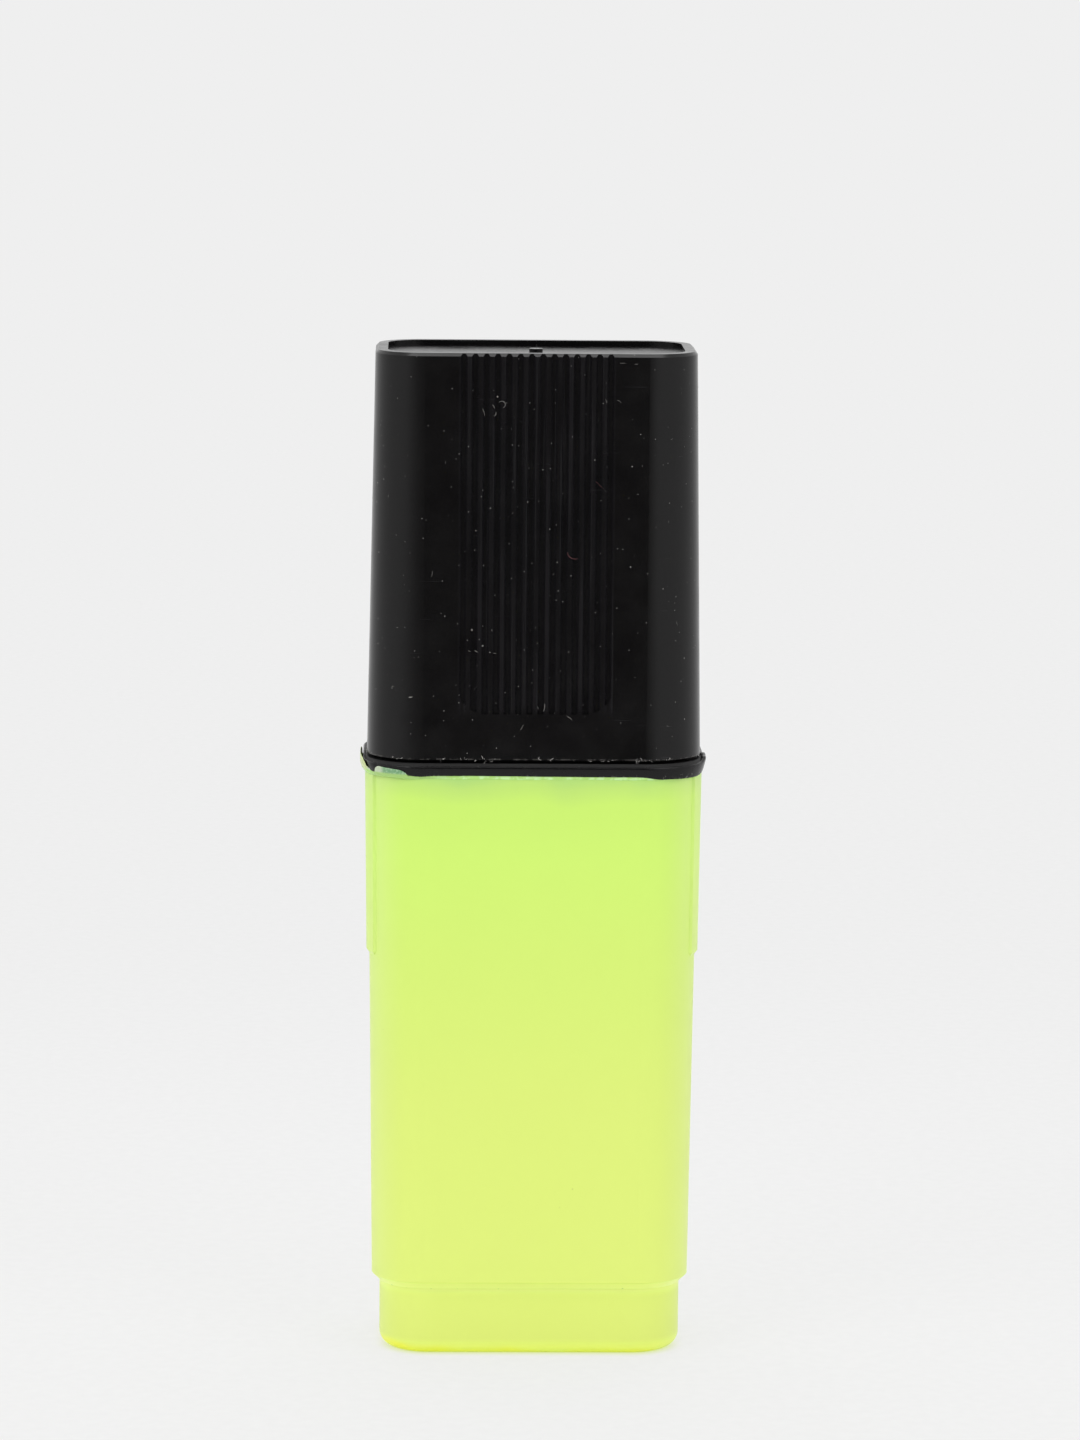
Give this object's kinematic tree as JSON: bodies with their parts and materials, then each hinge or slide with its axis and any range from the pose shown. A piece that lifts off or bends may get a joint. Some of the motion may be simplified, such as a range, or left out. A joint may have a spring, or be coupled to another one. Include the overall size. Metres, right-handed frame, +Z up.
{
  "type": "highlighter",
  "caption": "Flat-bodied highlighter: fluorescent barrel on a stepped foot, black collar, and a ribbed slip-on cap over a chisel nib.",
  "frame": {"origin": "middle of the foot's flat underside", "axes": "+Z up from the foot to the top of the cap, X along the wide side, Y through the thickness, front facing -Y"},
  "size_m": [0.0276, 0.0166, 0.082],
  "materials": {
    "fluorescent_plastic": "even satin, fluorescent yellow-green",
    "black_plastic": "satin",
    "ink_fibre": "soaked fibre",
    "wrapping_film": "clear film",
    "nib_fibre": "pressed fibre, soaked with ink",
    "seal_plastic": "soft, translucent white"
  },
  "bodies": {
    "barrel": {"barrel": "fluorescent_plastic", "end_plug": "fluorescent_plastic", "front_section": "black_plastic", "nib": "nib_fibre", "reservoir_core": "ink_fibre", "reservoir_film": "wrapping_film"},
    "cap": {"cap": "black_plastic", "inner_cap": "seal_plastic"}
  },
  "joints": [
    {"name": "cap_pull", "type": "slide", "parent": "barrel", "child": "cap", "axis": [0, 0, 1], "range_m": [0, 0.045]}
  ]
}
